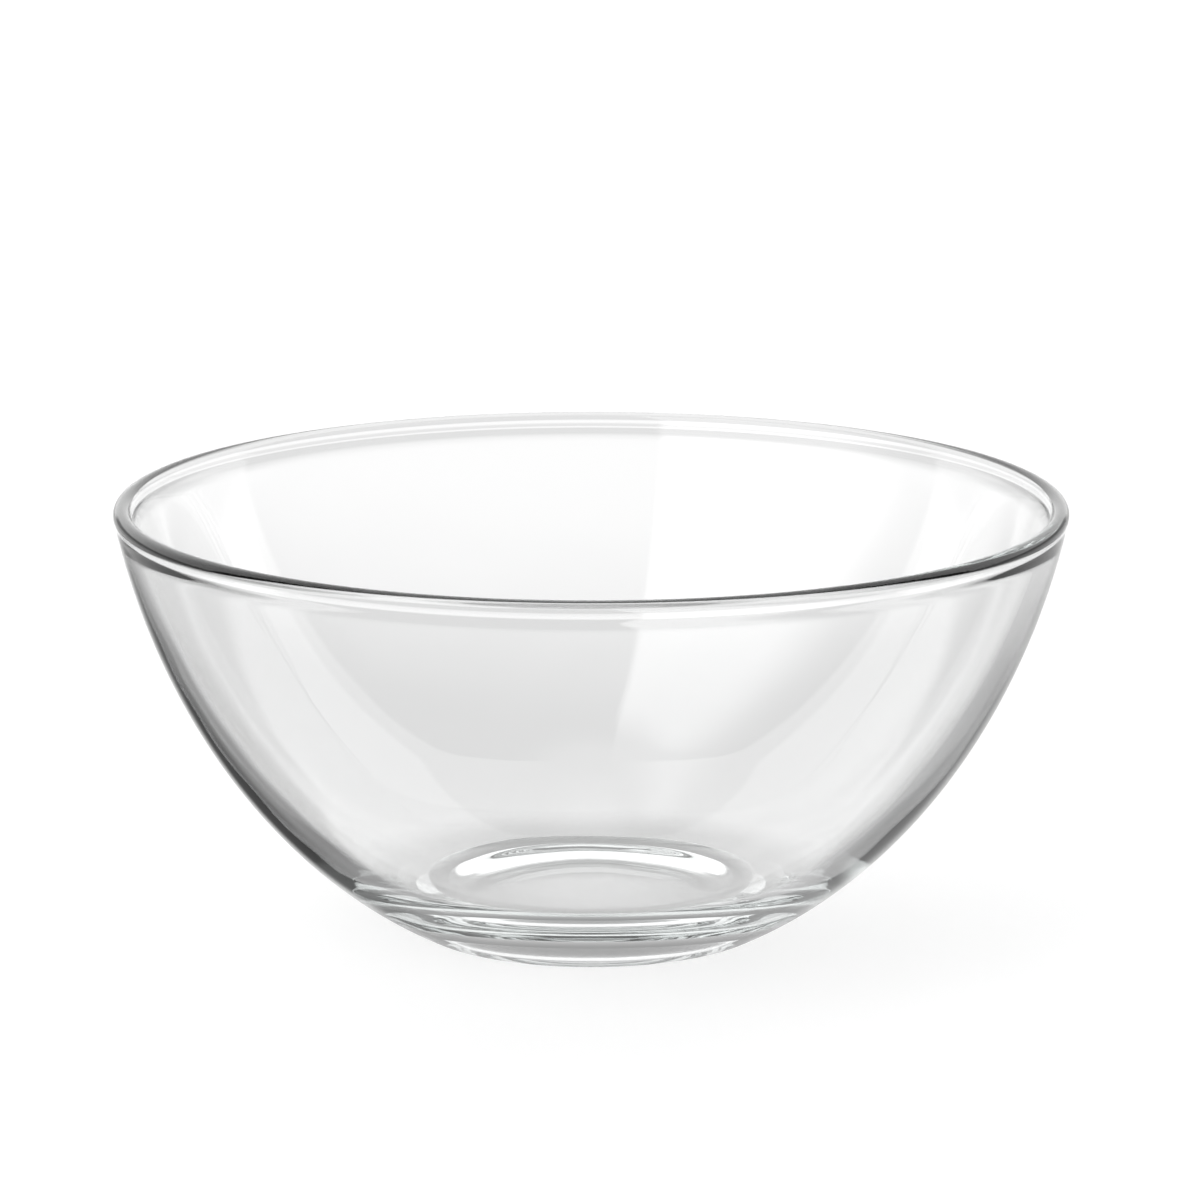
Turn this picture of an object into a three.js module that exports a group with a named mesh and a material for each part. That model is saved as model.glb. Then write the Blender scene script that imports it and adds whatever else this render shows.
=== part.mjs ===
// A dessert bowl of clear pressed glass: one piece, round about +Z, standing on z = 0. Sizes in mm.
import * as THREE from 'three';

// Driving dimensions
const RIM_DIAMETER = 140; // across the outside of the lip
const HEIGHT = 63.8; // from the table to the top of the lip
const FOOT_DIAMETER = 52.6; // where the outside of the wall reaches the table
const RIM_LEAN_DEGREES = 12; // how far the wall leans outwards just below the lip
const LIP_THICKNESS = 2.64; // glass at the lip, which is melted to a half round
const SHOULDER_THICKNESS = 2.84; // wall just below the lip
const SHOULDER_DEPTH = 3.5; // depth below the lip over which the wall grows to that
const WALL_THICKNESS = 4.15; // what the wall would grow to at the level of the table
const WALL_GROWTH = 1.5; // how late on the way down the wall grows, as a power
const HEEL_SPREAD = 17.5; // how far outside the foot the wall starts to thicken into the base
const HEEL_FADE = 2; // how gently the wall starts to thicken there, as a power
const BASE_THICKNESS = 4.2; // from the table to the inside floor, on the axis
const FOOT_EDGE_RADIUS = 1; // round between the wall and the standing ring
const STANDING_RING_WIDTH = 3.6; // from the foot's outside in to the recess, flat on the table
const RECESS_DEPTH = 0.8; // hollow of the underside within the standing ring
const RECESS_LEVELNESS = 6; // how far out the recess stays level, as a power
const RECESS_FADE = 2; // how gently the recess runs out into the standing ring, as a power

// Fineness of the faces
const FACES_AROUND = 72;
const RECESS_STEPS = 7;
const FOOT_EDGE_STEPS = 2;
const OUTSIDE_STEPS = 16;
const LIP_QUARTER_STEPS = 4;
const INSIDE_STEPS = 18;

// The lip is half a circle, turned by the lean so that it runs smoothly into both walls.
const lean = THREE.MathUtils.degToRad(RIM_LEAN_DEGREES);
const lipRadius = LIP_THICKNESS / 2;
const lipCentre = new THREE.Vector2(RIM_DIAMETER / 2 - lipRadius, HEIGHT - lipRadius);
const footRadius = FOOT_DIAMETER / 2;

function pointOnArc(centre, radius, angle) {
  return new THREE.Vector2(centre.x + radius * Math.cos(angle), centre.y + radius * Math.sin(angle));
}

// Points along an arc, without its last one, where the next stretch of the outline begins.
function arcPoints(centre, radius, fromAngle, toAngle, steps) {
  const points = [];
  for (let step = 0; step < steps; step += 1) {
    points.push(pointOnArc(centre, radius, THREE.MathUtils.lerp(fromAngle, toAngle, step / steps)));
  }
  return points;
}

// The outside wall is a stretch of an ellipse whose centre is on the axis, above the rim. It leaves
// the lip at the lean and comes down to the table at the foot.
const wallTop = pointOnArc(lipCentre, lipRadius, -lean);
const leanSlope = Math.tan(lean);
const squash =
  (wallTop.x ** 2 - footRadius ** 2 - 2 * wallTop.x * wallTop.y * leanSlope) / wallTop.y ** 2;
const centreAboveTop = (wallTop.x * leanSlope) / squash;
const ellipseCentre = wallTop.y + centreAboveTop;
const halfWidth = Math.sqrt(wallTop.x ** 2 + squash * centreAboveTop ** 2);
const halfHeight = halfWidth / Math.sqrt(squash);

// Angles on the ellipse run down from its level centre line to its lowest point on the axis.
const quarterTurn = Math.PI / 2;

function ellipseAngleAt(height) {
  return Math.asin((ellipseCentre - height) / halfHeight);
}

function pointOnEllipse(angle) {
  return new THREE.Vector2(halfWidth * Math.cos(angle), ellipseCentre - halfHeight * Math.sin(angle));
}

function inwardNormal(angle) {
  return new THREE.Vector2(-Math.cos(angle) / halfWidth, Math.sin(angle) / halfHeight).normalize();
}

// The wall grows quickly at the lip, then slowly all the way down, then from the heel into the base.
const heelRadius = footRadius + HEEL_SPREAD;
const axisThickness = BASE_THICKNESS - pointOnEllipse(quarterTurn).y;

function wallThicknessAt(outside) {
  const depth = Math.max(0, wallTop.y - outside.y);
  const shoulderShare = THREE.MathUtils.smoothstep(depth, 0, SHOULDER_DEPTH);
  const shoulder = THREE.MathUtils.lerp(LIP_THICKNESS, SHOULDER_THICKNESS, shoulderShare);
  const growth = (WALL_THICKNESS - SHOULDER_THICKNESS) * (depth / wallTop.y) ** WALL_GROWTH;
  const baseShare = Math.max(0, 1 - (outside.x / heelRadius) ** 2) ** HEEL_FADE;
  return THREE.MathUtils.lerp(shoulder + growth, axisThickness, baseShare);
}

// The foot's edge is a small arc between the slope of the wall and the flat standing ring.
const footAngle = ellipseAngleAt(0);
const footSlope = Math.atan2(halfHeight * Math.cos(footAngle), halfWidth * Math.sin(footAngle));
const edgeSetback = FOOT_EDGE_RADIUS * Math.tan(footSlope / 2);
const edgeCentre = new THREE.Vector2(footRadius - edgeSetback, FOOT_EDGE_RADIUS);
const edgeTop = edgeSetback * Math.sin(footSlope);
const recessRadius = footRadius - STANDING_RING_WIDTH;

// The recess has a level middle and a soft shoulder that runs out into the standing ring.
function recessHeightAt(radius) {
  return RECESS_DEPTH * (1 - (radius / recessRadius) ** RECESS_LEVELNESS) ** RECESS_FADE;
}

// Outline of half the bowl, from the middle of the underside out and up, over the lip and down inside.
function bowlOutline() {
  const outline = [];
  for (let step = 0; step <= RECESS_STEPS; step += 1) {
    const radius = recessRadius * Math.sin((quarterTurn * step) / RECESS_STEPS);
    outline.push(new THREE.Vector2(radius, recessHeightAt(radius)));
  }
  const edgeEnd = footSlope - quarterTurn;
  outline.push(...arcPoints(edgeCentre, FOOT_EDGE_RADIUS, -quarterTurn, edgeEnd, FOOT_EDGE_STEPS));
  const topAngle = ellipseAngleAt(wallTop.y);
  const bottomAngle = ellipseAngleAt(edgeTop);
  for (let step = 0; step <= OUTSIDE_STEPS; step += 1) {
    const angle = THREE.MathUtils.lerp(bottomAngle, topAngle, step / OUTSIDE_STEPS);
    outline.push(pointOnEllipse(angle));
  }
  outline.push(...arcPoints(lipCentre, lipRadius, 0, quarterTurn, LIP_QUARTER_STEPS));
  outline.push(...arcPoints(lipCentre, lipRadius, quarterTurn, Math.PI - lean, LIP_QUARTER_STEPS));
  for (let step = 0; step <= INSIDE_STEPS; step += 1) {
    const angle = THREE.MathUtils.lerp(topAngle, quarterTurn, step / INSIDE_STEPS);
    const outside = pointOnEllipse(angle);
    outline.push(outside.addScaledVector(inwardNormal(angle), wallThicknessAt(outside)));
  }
  // The first and last points close the solid, so they lie exactly on the axis.
  outline[0].x = 0;
  outline[outline.length - 1].x = 0;
  return outline;
}

// Clear glass, fire polished, with the faint green-grey that shows along its edges.
const glass = new THREE.MeshStandardMaterial({
  color: 0xdfe6e4,
  roughness: 0.04,
  metalness: 0,
  transparent: true,
  opacity: 0.35,
});

const bowlGeometry = new THREE.LatheGeometry(bowlOutline(), FACES_AROUND);
bowlGeometry.rotateX(Math.PI / 2); // the lathe turns about +Y, the bowl stands along +Z

const bowl = new THREE.Mesh(bowlGeometry, glass);
bowl.name = 'glass_bowl';

const dessertBowl = new THREE.Group();
dessertBowl.name = 'dessert_bowl';
dessertBowl.add(bowl);

export default dessertBowl;
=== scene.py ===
import math

import bpy
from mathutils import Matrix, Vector


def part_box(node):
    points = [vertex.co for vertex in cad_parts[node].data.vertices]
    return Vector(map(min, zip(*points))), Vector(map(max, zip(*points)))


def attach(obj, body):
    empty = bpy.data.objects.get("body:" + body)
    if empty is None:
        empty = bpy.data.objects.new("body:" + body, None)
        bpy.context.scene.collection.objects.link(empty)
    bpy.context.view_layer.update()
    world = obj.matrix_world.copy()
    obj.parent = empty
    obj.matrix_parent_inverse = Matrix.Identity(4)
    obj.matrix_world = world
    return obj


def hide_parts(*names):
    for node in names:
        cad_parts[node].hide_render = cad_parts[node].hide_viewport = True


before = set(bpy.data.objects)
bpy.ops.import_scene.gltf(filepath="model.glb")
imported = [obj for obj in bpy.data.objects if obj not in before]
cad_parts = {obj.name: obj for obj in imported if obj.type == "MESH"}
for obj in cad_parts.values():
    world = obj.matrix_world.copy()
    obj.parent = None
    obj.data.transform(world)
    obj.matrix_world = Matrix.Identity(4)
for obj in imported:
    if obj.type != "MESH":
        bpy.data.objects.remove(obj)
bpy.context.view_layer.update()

scene = bpy.context.scene

# The bowl: one pressing of clear soda-lime glass, round about its upright axis.
# A plunger presses the gob into a mould, then a flame melts the lip to a half round.
# The outline is worked out here in metres, and a node tree turns it about the axis.
MM = 0.001
bowl_low, bowl_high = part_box("glass_bowl")
RIM_RADIUS = (bowl_high.x - bowl_low.x) / 2
HEIGHT = bowl_high.z - bowl_low.z
FOOT_RADIUS = 26.3 * MM
RIM_LEAN = math.radians(12)
LIP_THICKNESS = 2.64 * MM
BEAD_RELIEF = 0.12 * MM
BEAD_INSIDE_SHARE = 0.4
BEAD_DEPTH = 1.15 * MM
BEAD_SOFTNESS = 0.5 * MM
SHOULDER_THICKNESS = 2.84 * MM
SHOULDER_DEPTH = 3.5 * MM
WALL_THICKNESS = 4.15 * MM
WALL_GROWTH = 1.5
HEEL_RADIUS = FOOT_RADIUS + 17.5 * MM
HEEL_FADE = 2
BASE_THICKNESS = 4.2 * MM
FOOT_EDGE_RADIUS = 1 * MM
RECESS_RADIUS = FOOT_RADIUS - 3.6 * MM
RECESS_DEPTH = 0.8 * MM
RECESS_LEVELNESS = 6
RECESS_FADE = 2
WAVE_HEIGHT = 0.04 * MM
WAVE_LENGTH = 16 * MM
WAVE_SEED = 3.0
WAVE_CALM_HEIGHT = 16 * MM
RECESS_POINTS = 40
FOOT_EDGE_POINTS = 8
OUTSIDE_POINTS = 90
LIP_POINTS = 24
INSIDE_POINTS = 120
LIP_CROWDING = 1.6
STEPS_AROUND = 320
WELD_DISTANCE = 0.005 * MM

# Outside wall: a stretch of an ellipse with its centre on the axis. It leaves the lip at the lean and
# comes down to the table at the foot.
lip_radius = LIP_THICKNESS / 2
lip_centre = Vector((RIM_RADIUS - lip_radius, HEIGHT - lip_radius))
wall_top = lip_centre + lip_radius * Vector((math.cos(RIM_LEAN), -math.sin(RIM_LEAN)))
lean_slope = math.tan(RIM_LEAN)
squash = wall_top.x ** 2 - FOOT_RADIUS ** 2 - 2 * wall_top.x * wall_top.y * lean_slope
squash /= wall_top.y ** 2
centre_above_top = wall_top.x * lean_slope / squash
ellipse_centre = wall_top.y + centre_above_top
half_width = math.sqrt(wall_top.x ** 2 + squash * centre_above_top ** 2)
half_height = half_width / math.sqrt(squash)
axis_thickness = BASE_THICKNESS - (ellipse_centre - half_height)


def ellipse_angle(height):
    return math.asin((ellipse_centre - height) / half_height)


def outside_point(angle):
    return Vector((half_width * math.cos(angle), ellipse_centre - half_height * math.sin(angle)))


# Glass between the outside and the inside: thin at the lip, slowly thicker down the wall, then thick
# in the base.
def thickness_at(outside):
    depth = max(0, wall_top.y - outside.y)
    share = min(1, depth / SHOULDER_DEPTH)
    shoulder = LIP_THICKNESS + (SHOULDER_THICKNESS - LIP_THICKNESS) * share ** 2 * (3 - 2 * share)
    growth = (WALL_THICKNESS - SHOULDER_THICKNESS) * (depth / wall_top.y) ** WALL_GROWTH
    base_share = max(0, 1 - (outside.x / HEEL_RADIUS) ** 2) ** HEEL_FADE
    return (shoulder + growth) * (1 - base_share) + axis_thickness * base_share


# The melted lip draws up into a faint bead, so both faces of the wall draw in a little just below it.
def bead_relief(outside):
    depth = wall_top.y - outside.y
    return BEAD_RELIEF * math.exp(-((depth - BEAD_DEPTH) / BEAD_SOFTNESS) ** 2)


def wall_point(angle, thickness_share):
    outside = outside_point(angle)
    inward = Vector((-math.cos(angle) / half_width, math.sin(angle) / half_height)).normalized()
    relief = bead_relief(outside)
    thickness = thickness_at(outside) - relief * (1 + BEAD_INSIDE_SHARE)
    return outside + inward * (relief + thickness * thickness_share)


def arc_point(centre, radius, angle):
    return centre + radius * Vector((math.cos(angle), math.sin(angle)))


def between(start, end, step, steps):
    return start + (end - start) * step / steps


# Outline of half the bowl: underside, foot edge, outside wall, lip, inside wall. The points of both walls
# crowd towards the lip, where the bead needs them.
quarter_turn = math.pi / 2
foot_angle = ellipse_angle(0)
foot_slope = math.atan2(half_height * math.cos(foot_angle), half_width * math.sin(foot_angle))
edge_setback = FOOT_EDGE_RADIUS * math.tan(foot_slope / 2)
edge_centre = Vector((FOOT_RADIUS - edge_setback, FOOT_EDGE_RADIUS))
top_angle = ellipse_angle(wall_top.y)
bottom_angle = ellipse_angle(edge_setback * math.sin(foot_slope))
outline = []
for step in range(RECESS_POINTS + 1):
    radius = RECESS_RADIUS * math.sin(quarter_turn * step / RECESS_POINTS)
    rise = RECESS_DEPTH * (1 - (radius / RECESS_RADIUS) ** RECESS_LEVELNESS) ** RECESS_FADE
    outline.append(Vector((radius, rise)))
for step in range(FOOT_EDGE_POINTS):
    angle = between(-quarter_turn, foot_slope - quarter_turn, step, FOOT_EDGE_POINTS)
    outline.append(arc_point(edge_centre, FOOT_EDGE_RADIUS, angle))
for step in range(OUTSIDE_POINTS, 0, -1):
    below_lip = (step / OUTSIDE_POINTS) ** LIP_CROWDING
    outline.append(wall_point(top_angle + (bottom_angle - top_angle) * below_lip, 0))
for step in range(LIP_POINTS):
    angle = between(-RIM_LEAN, math.pi - RIM_LEAN, step, LIP_POINTS)
    outline.append(arc_point(lip_centre, lip_radius, angle))
for step in range(INSIDE_POINTS + 1):
    below_lip = (step / INSIDE_POINTS) ** LIP_CROWDING
    outline.append(wall_point(top_angle + (quarter_turn - top_angle) * below_lip, 1))
outline[0].x = 0
outline[-1].x = 0


# The linear colour of an sRGB hex value.
def linear(hex_colour):
    channels = [int(hex_colour[i:i + 2], 16) / 255 for i in (1, 3, 5)]
    curved = [c / 12.92 if c <= 0.04045 else ((c + 0.055) / 1.055) ** 2.4 for c in channels]
    return (*curved, 1)


# Adds one node. Settings are the node's own properties, inputs are values or sockets to link from.
def add_node(tree, kind, settings=None, inputs=None):
    node = tree.nodes.new(kind)
    for name, value in (settings or {}).items():
        setattr(node, name, value)
    for name, value in (inputs or {}).items():
        if isinstance(value, bpy.types.NodeSocket):
            tree.links.new(value, node.inputs[name])
        else:
            node.inputs[name].default_value = value
    return node


# Soda-lime glass, pressed and fire polished: colourless through the wall, faintly green-grey along
# the edges where the sight line runs in the glass.
glass = bpy.data.materials.new("clear_soda_lime_glass")
glass.use_nodes = True
tree = glass.node_tree
tree.nodes.clear()
surface = add_node(tree, "ShaderNodeBsdfPrincipled", None, {
    "Base Color": linear("#FFFFFF"),
    "Roughness": 0,
    "IOR": 1.52,
    "Transmission Weight": 1,
})
body = add_node(tree, "ShaderNodeVolumeAbsorption", None, {
    "Color": linear("#C4C9C8"),
    "Density": 12,
})
add_node(tree, "ShaderNodeOutputMaterial", None, {
    "Surface": surface.outputs["BSDF"],
    "Volume": body.outputs["Volume"],
})

# The tree turns the outline about the axis: a grid with one column for each step round takes each
# column's points from the outline, swings them round and closes the seam and the two poles.
turning = bpy.data.node_groups.new("turn_outline", "GeometryNodeTree")
turning.interface.new_socket("Outline", in_out="INPUT", socket_type="NodeSocketGeometry")
lathe_settings = {}
for name, kind, value in (
    ("Steps Around", "NodeSocketInt", STEPS_AROUND),
    ("Outline Points", "NodeSocketInt", len(outline)),
    ("Weld Distance", "NodeSocketFloat", WELD_DISTANCE),
    ("Wave Height", "NodeSocketFloat", WAVE_HEIGHT),
    ("Wave Length", "NodeSocketFloat", WAVE_LENGTH),
    ("Wave Seed", "NodeSocketFloat", WAVE_SEED),
    ("Calm Height", "NodeSocketFloat", WAVE_CALM_HEIGHT),
    ("Rim Height", "NodeSocketFloat", HEIGHT),
    ("Glass", "NodeSocketMaterial", glass),
):
    socket = turning.interface.new_socket(name, in_out="INPUT", socket_type=kind)
    lathe_settings[socket.identifier] = value
turning.interface.new_socket("Bowl", in_out="OUTPUT", socket_type="NodeSocketGeometry")
given = add_node(turning, "NodeGroupInput")
columns = add_node(turning, "ShaderNodeMath", {"operation": "ADD"}, {
    0: given.outputs["Steps Around"],
    1: 1,
})
grid = add_node(turning, "GeometryNodeMeshGrid", None, {
    "Vertices X": columns.outputs["Value"],
    "Vertices Y": given.outputs["Outline Points"],
})
place = add_node(turning, "GeometryNodeInputIndex")
column = add_node(turning, "ShaderNodeMath", {"operation": "DIVIDE"}, {
    0: place.outputs["Index"],
    1: given.outputs["Outline Points"],
})
whole_column = add_node(turning, "ShaderNodeMath", {"operation": "FLOOR"}, {0: column.outputs["Value"]})
row = add_node(turning, "ShaderNodeMath", {"operation": "MODULO"}, {
    0: place.outputs["Index"],
    1: given.outputs["Outline Points"],
})
turn_share = add_node(turning, "ShaderNodeMath", {"operation": "DIVIDE"}, {
    0: whole_column.outputs["Value"],
    1: given.outputs["Steps Around"],
})
turn = add_node(turning, "ShaderNodeMath", {"operation": "MULTIPLY"}, {
    0: turn_share.outputs["Value"],
    1: 2 * math.pi,
})
outline_place = add_node(turning, "GeometryNodeInputPosition")
point = add_node(turning, "GeometryNodeSampleIndex", {"data_type": "FLOAT_VECTOR", "domain": "POINT"}, {
    "Geometry": given.outputs["Outline"],
    "Value": outline_place.outputs["Position"],
    "Index": row.outputs["Value"],
})
swung = add_node(turning, "ShaderNodeVectorRotate", {"rotation_type": "Z_AXIS"}, {
    "Vector": point.outputs["Value"],
    "Angle": turn.outputs["Value"],
})
placed = add_node(turning, "GeometryNodeSetPosition", None, {
    "Geometry": grid.outputs["Mesh"],
    "Position": swung.outputs["Vector"],
})
welded = add_node(turning, "GeometryNodeMergeByDistance", None, {
    "Geometry": placed.outputs["Geometry"],
    "Distance": given.outputs["Weld Distance"],
})
# Faint waves that the mould and the flame leave in the faces. They die away near the foot and the lip.
turned_place = add_node(turning, "GeometryNodeInputPosition")
frequency = add_node(turning, "ShaderNodeMath", {"operation": "DIVIDE"}, {
    0: 1,
    1: given.outputs["Wave Length"],
})
waves = add_node(turning, "ShaderNodeTexNoise", {"noise_dimensions": "4D"}, {
    "Vector": turned_place.outputs["Position"],
    "W": given.outputs["Wave Seed"],
    "Scale": frequency.outputs["Value"],
    "Detail": 1,
})
swing = add_node(turning, "ShaderNodeMath", {"operation": "SUBTRACT"}, {0: waves.outputs["Fac"], 1: 0.5})
above = add_node(turning, "ShaderNodeSeparateXYZ", None, {0: turned_place.outputs["Position"]})
below_rim = add_node(turning, "ShaderNodeMath", {"operation": "SUBTRACT"}, {
    0: given.outputs["Rim Height"],
    1: above.outputs["Z"],
})
calm_distance = add_node(turning, "ShaderNodeMath", {"operation": "MINIMUM"}, {
    0: above.outputs["Z"],
    1: below_rim.outputs["Value"],
})
strength = add_node(turning, "ShaderNodeMapRange", {"interpolation_type": "SMOOTHSTEP"}, {
    "Value": calm_distance.outputs["Value"],
    "From Max": given.outputs["Calm Height"],
    "To Max": given.outputs["Wave Height"],
})
wave = add_node(turning, "ShaderNodeMath", {"operation": "MULTIPLY"}, {
    0: swing.outputs["Value"],
    1: strength.outputs["Result"],
})
facing = add_node(turning, "GeometryNodeInputNormal")
push = add_node(turning, "ShaderNodeVectorMath", {"operation": "SCALE"}, {
    0: facing.outputs["Normal"],
    "Scale": wave.outputs["Value"],
})
waved = add_node(turning, "GeometryNodeSetPosition", None, {
    "Geometry": welded.outputs["Geometry"],
    "Offset": push.outputs["Vector"],
})
smoothed = add_node(turning, "GeometryNodeSetShadeSmooth", None, {"Geometry": waved.outputs["Geometry"]})
real = add_node(turning, "GeometryNodeRealizeInstances", None, {
    "Geometry": smoothed.outputs["Geometry"],
})
glazed = add_node(turning, "GeometryNodeSetMaterial", None, {
    "Geometry": real.outputs["Geometry"],
    "Material": given.outputs["Glass"],
})
add_node(turning, "NodeGroupOutput", None, {"Bowl": glazed.outputs["Geometry"]})

outline_mesh = bpy.data.meshes.new("bowl_outline")
outline_mesh.from_pydata([(p.x, 0, p.y) for p in outline], [], [])
turned = bpy.data.objects.new("bowl_outline", outline_mesh)
scene.collection.objects.link(turned)
lathe = turned.modifiers.new("turn_outline", "NODES")
lathe.node_group = turning
for identifier, value in lathe_settings.items():
    lathe[identifier] = value
evaluated = turned.evaluated_get(bpy.context.evaluated_depsgraph_get())
bowl_mesh = bpy.data.meshes.new_from_object(evaluated)
bpy.data.objects.remove(turned)
bowl = bpy.data.objects.new("dessert_bowl_glass", bowl_mesh)
scene.collection.objects.link(bowl)
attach(bowl, "root")
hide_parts("glass_bowl")

# The floor: a sheet of matt white paper, laid flat and far larger than the picture. It glows most of the
# way to white and takes the bowl's soft shadow in the rest. The glass sees a painted shadow under and
# round the foot, a dim glowing disc that stands for the bowl's contact shadow, and beyond that the lower
# half of the studio light, which stands for the table.
FLOOR_SIZE = 6
FLOOR_GLOW = 0.72
# Levels and radii of the painted contact shadow, a dim glow under and round the foot that only the glass
# sees.
PAINTED_SHADE_MIDDLE = 0.45
PAINTED_SHADE_MIDDLE_RADIUS = 4 * MM
PAINTED_SHADE_AT_FOOT = 0.28
PAINTED_SHADE_AT_FOOT_RADIUS = 20 * MM
PAINTED_SHADE_RADIUS = 27.5 * MM
PAINTED_CONTACT_SHADE_SHARE = 0.45
PAINTED_CONTACT_SHADE_RADIUS = 40 * MM
edge = FLOOR_SIZE / 2
floor_mesh = bpy.data.meshes.new("floor")
floor_corners = [(-edge, -edge, 0), (edge, -edge, 0), (edge, edge, 0), (-edge, edge, 0)]
floor_mesh.from_pydata(floor_corners, [], [(0, 1, 2, 3)])
floor = bpy.data.objects.new("floor", floor_mesh)
scene.collection.objects.link(floor)

# Uncoated white paper: no gloss at all, so the bowl leaves a soft shadow on it and no mirror image.
matt_white = bpy.data.materials.new("matt_white_paper")
matt_white.use_nodes = True
tree = matt_white.node_tree
tree.nodes.clear()
glow = add_node(tree, "ShaderNodeEmission", None, {"Strength": FLOOR_GLOW})
lit = add_node(tree, "ShaderNodeBsdfDiffuse", None, {"Color": linear("#A0A0A0")})
paper = add_node(tree, "ShaderNodeAddShader", None, {
    0: glow.outputs["Emission"],
    1: lit.outputs["BSDF"],
})
# Painted shadow: to rays through the glass the paper is a dim glowing disc under the foot, fading to
# clear by the contact radius, that stands for the bowl's contact shadow. The camera sees the paper
# itself.
floor_place = add_node(tree, "ShaderNodeTexCoord")
from_axis = add_node(tree, "ShaderNodeVectorMath", {"operation": "LENGTH"}, {
    0: floor_place.outputs["Object"],
})
painted_shade_level = add_node(tree, "ShaderNodeMapRange", {"interpolation_type": "SMOOTHSTEP"}, {
    "Value": from_axis.outputs["Value"],
    "From Min": PAINTED_SHADE_MIDDLE_RADIUS,
    "From Max": PAINTED_SHADE_AT_FOOT_RADIUS,
    "To Min": PAINTED_SHADE_MIDDLE,
    "To Max": PAINTED_SHADE_AT_FOOT,
})
painted_shade = add_node(tree, "ShaderNodeEmission", None, {"Strength": painted_shade_level.outputs["Result"]})
clear = add_node(tree, "ShaderNodeBsdfTransparent")
painted_shade_end = add_node(tree, "ShaderNodeMapRange", {"interpolation_type": "SMOOTHSTEP"}, {
    "Value": from_axis.outputs["Value"],
    "From Min": RECESS_RADIUS,
    "From Max": PAINTED_SHADE_RADIUS,
    "To Max": 1 - PAINTED_CONTACT_SHADE_SHARE,
})
painted_contact_shade_end = add_node(tree, "ShaderNodeMapRange", {"interpolation_type": "SMOOTHSTEP"}, {
    "Value": from_axis.outputs["Value"],
    "From Min": PAINTED_SHADE_RADIUS,
    "From Max": PAINTED_CONTACT_SHADE_RADIUS,
    "To Max": PAINTED_CONTACT_SHADE_SHARE,
})
open_share = add_node(tree, "ShaderNodeMath", {"operation": "ADD"}, {
    0: painted_shade_end.outputs["Result"],
    1: painted_contact_shade_end.outputs["Result"],
})
painted_shade_in_glass = add_node(tree, "ShaderNodeMixShader", None, {
    0: open_share.outputs["Value"],
    1: painted_shade.outputs["Emission"],
    2: clear.outputs["BSDF"],
})
path = add_node(tree, "ShaderNodeLightPath")
seen = add_node(tree, "ShaderNodeMixShader", None, {
    0: path.outputs["Is Camera Ray"],
    1: painted_shade_in_glass.outputs["Shader"],
    2: paper.outputs["Shader"],
})
add_node(tree, "ShaderNodeOutputMaterial", None, {"Surface": seen.outputs["Shader"]})
floor_mesh.materials.append(matt_white)

# The light: a studio with a bright back, a dark front and one tall soft panel at the front left. Below
# level is the pale table as the glass sees it, with a dark card low behind the bowl on each side.
# The camera itself sees plain white. Azimuth runs from the back to the right, elevation up from level.
BACK_LEVEL = 1.5
FRONT_LEVEL = 0.15
OVERHEAD_LEVEL = 1.2
PANEL_LEVEL = 2.3
TABLE_BELOW = 0.9
TABLE_BESIDE = 0.8
TABLE_FAR_GAIN = 0.28
TABLE_END_LOSS = 0.2
ROOM_LEVEL = 0.5
CARD_CORE = 0.5
CARD_EDGE = 1.4
studio = bpy.data.worlds.new("white_studio")
scene.world = studio
studio.use_nodes = True
tree = studio.node_tree
tree.nodes.clear()
direction = add_node(tree, "ShaderNodeTexCoord")
parts = add_node(tree, "ShaderNodeSeparateXYZ", None, {0: direction.outputs["Generated"]})
azimuth = add_node(tree, "ShaderNodeMath", {"operation": "ARCTAN2"}, {
    0: parts.outputs["X"],
    1: parts.outputs["Y"],
})
elevation = add_node(tree, "ShaderNodeMath", {"operation": "ARCSINE"}, {0: parts.outputs["Z"]})
aside = add_node(tree, "ShaderNodeMath", {"operation": "ABSOLUTE"}, {0: azimuth.outputs["Value"]})

# Each ramp runs over an angle, between two places in degrees, from its first level to its last.
ramps = {}
for name, angle, from_degrees, to_degrees, first, last in (
    ("back_to_front", aside, 76.5, 79, BACK_LEVEL, FRONT_LEVEL),
    ("overhead", elevation, 72, 86, 0, 1),
    ("panel_sharp_side", azimuth, -162.5, -159.5, 0, 1),
    ("panel_soft_side", azimuth, -115, -85, 1, 0),
    ("panel_foot", elevation, 4, 12, 0, 1),
    ("panel_head", elevation, 67, 77, 1, 0),
    ("table", elevation, -50, -20, TABLE_BELOW, TABLE_BESIDE),
    ("table_far", elevation, -16.5, -11.5, 0, TABLE_FAR_GAIN),
    ("table_end", elevation, -10, -6, 0, TABLE_END_LOSS),
    ("horizon", elevation, -4, 1, 0, 1),
    ("room_foot", elevation, -3, -1, 0, 1),
    ("room_head", elevation, 6, 11, 1, 0),
    ("room_side", aside, 18, 24, 0, 1),
):
    ramps[name] = add_node(tree, "ShaderNodeMapRange", {"interpolation_type": "SMOOTHSTEP"}, {
        "Value": angle.outputs["Value"],
        "From Min": math.radians(from_degrees),
        "From Max": math.radians(to_degrees),
        "To Min": first,
        "To Max": last,
    }).outputs["Result"]

# The dim room, low all round apart from the back, and the panel show where all their ramps meet.
shares = {}
for name, limits in (
    ("room", ("room_foot", "room_head", "room_side")),
    ("panel", ("panel_sharp_side", "panel_soft_side", "panel_foot", "panel_head")),
):
    share = ramps[limits[0]]
    for limit in limits[1:]:
        share = add_node(tree, "ShaderNodeMath", {"operation": "MULTIPLY"}, {
            0: share,
            1: ramps[limit],
        }).outputs["Value"]
    shares[name] = share
table_gain = add_node(tree, "ShaderNodeMath", {"operation": "SUBTRACT"}, {
    0: ramps["table_far"],
    1: ramps["table_end"],
})
table = add_node(tree, "ShaderNodeMath", {"operation": "ADD"}, {
    0: ramps["table"],
    1: table_gain.outputs["Value"],
}).outputs["Value"]

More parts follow.
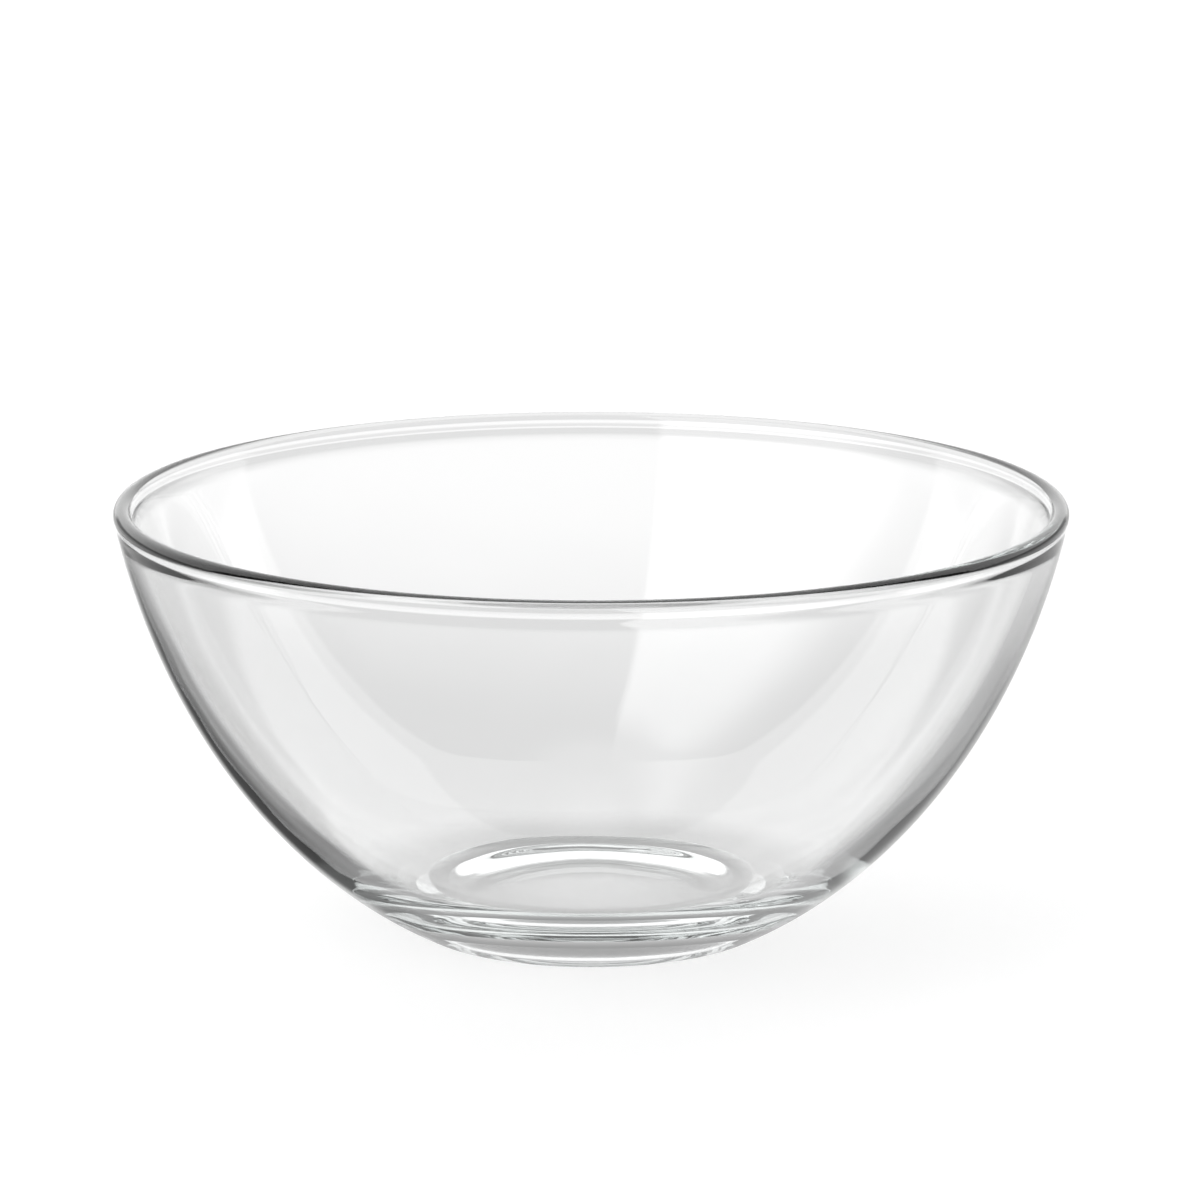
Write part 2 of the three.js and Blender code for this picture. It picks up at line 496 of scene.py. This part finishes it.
# Each card has its middle, its half width and half height in degrees, and how much light it takes.
for card_azimuth, card_elevation, half_span, half_rise, darkness in (
    (-20, -30, 9, 15, 0.8),
    (25, -32, 13, 13, 0.38),
):
    across = add_node(tree, "ShaderNodeMath", {"operation": "SUBTRACT"}, {
        0: azimuth.outputs["Value"],
        1: math.radians(card_azimuth),
    })
    up = add_node(tree, "ShaderNodeMath", {"operation": "SUBTRACT"}, {
        0: elevation.outputs["Value"],
        1: math.radians(card_elevation),
    })
    offset = add_node(tree, "ShaderNodeCombineXYZ", None, {
        "X": across.outputs["Value"],
        "Y": up.outputs["Value"],
    })
    scaled = add_node(tree, "ShaderNodeVectorMath", {"operation": "DIVIDE"}, {
        0: offset.outputs["Vector"],
        1: (math.radians(half_span), math.radians(half_rise), 1),
    })
    outwards = add_node(tree, "ShaderNodeVectorMath", {"operation": "LENGTH"}, {
        0: scaled.outputs["Vector"],
    })
    card = add_node(tree, "ShaderNodeMapRange", {"interpolation_type": "SMOOTHSTEP"}, {
        "Value": outwards.outputs["Value"],
        "From Min": CARD_CORE,
        "From Max": CARD_EDGE,
        "To Min": 1 - darkness,
        "To Max": 1,
    })
    table = add_node(tree, "ShaderNodeMath", {"operation": "MULTIPLY"}, {
        0: table,
        1: card.outputs["Result"],
    }).outputs["Value"]

# Above level, each light lies over the one before it. Below the horizon is the table.
level = ramps["back_to_front"]
for share, other in (
    (ramps["overhead"], OVERHEAD_LEVEL),
    (shares["room"], ROOM_LEVEL),
    (shares["panel"], PANEL_LEVEL),
):
    level = add_node(tree, "ShaderNodeMix", {"data_type": "FLOAT"}, {
        "Factor": share,
        "A": level,
        "B": other,
    }).outputs["Result"]
level = add_node(tree, "ShaderNodeMix", {"data_type": "FLOAT"}, {
    "Factor": ramps["horizon"],
    "A": table,
    "B": level,
}).outputs["Result"]
path = add_node(tree, "ShaderNodeLightPath")
white = add_node(tree, "ShaderNodeBackground", None, {"Color": linear("#FFFFFF"), "Strength": 1})
around = add_node(tree, "ShaderNodeBackground", None, {"Color": linear("#FFFFFF"), "Strength": level})
seen = add_node(tree, "ShaderNodeMixShader", None, {
    0: path.outputs["Is Camera Ray"],
    1: around.outputs["Background"],
    2: white.outputs["Background"],
})
add_node(tree, "ShaderNodeOutputWorld", None, {"Surface": seen.outputs["Shader"]})

# The camera: the photograph's place, 0.9 m from the rim's middle and 11.6 degrees above it. Its long lens
# is shifted a little, because the bowl stands left of the picture's middle.
CAMERA_DISTANCE = 0.9
CAMERA_ELEVATION = math.radians(11.63)
CAMERA_PITCH = math.radians(12.49)
FOCAL_PIXELS = 6132
IMAGE_PIXELS = 1200
AXIS_PIXEL = 591.2
lens = bpy.data.cameras.new("camera")
lens.sensor_width = 36
lens.lens = lens.sensor_width * FOCAL_PIXELS / IMAGE_PIXELS
lens.shift_x = (IMAGE_PIXELS / 2 - AXIS_PIXEL) / IMAGE_PIXELS
lens.clip_end = 20
camera = bpy.data.objects.new("camera", lens)
camera.location = (
    0,
    -CAMERA_DISTANCE * math.cos(CAMERA_ELEVATION),
    lip_centre.y + CAMERA_DISTANCE * math.sin(CAMERA_ELEVATION),
)
camera.rotation_euler = (math.pi / 2 - CAMERA_PITCH, 0, 0)
scene.collection.objects.link(camera)
scene.camera = camera

# The picture: plain tones. Light is followed for a set number of bounces, and what would run on longer
# inside the wall is lost, which leaves the lip and the edges their dark lines.
LIGHT_BOUNCES = 20
scene.view_settings.view_transform = "Standard"
scene.cycles.max_bounces = LIGHT_BOUNCES
scene.cycles.transmission_bounces = LIGHT_BOUNCES
scene.cycles.glossy_bounces = LIGHT_BOUNCES
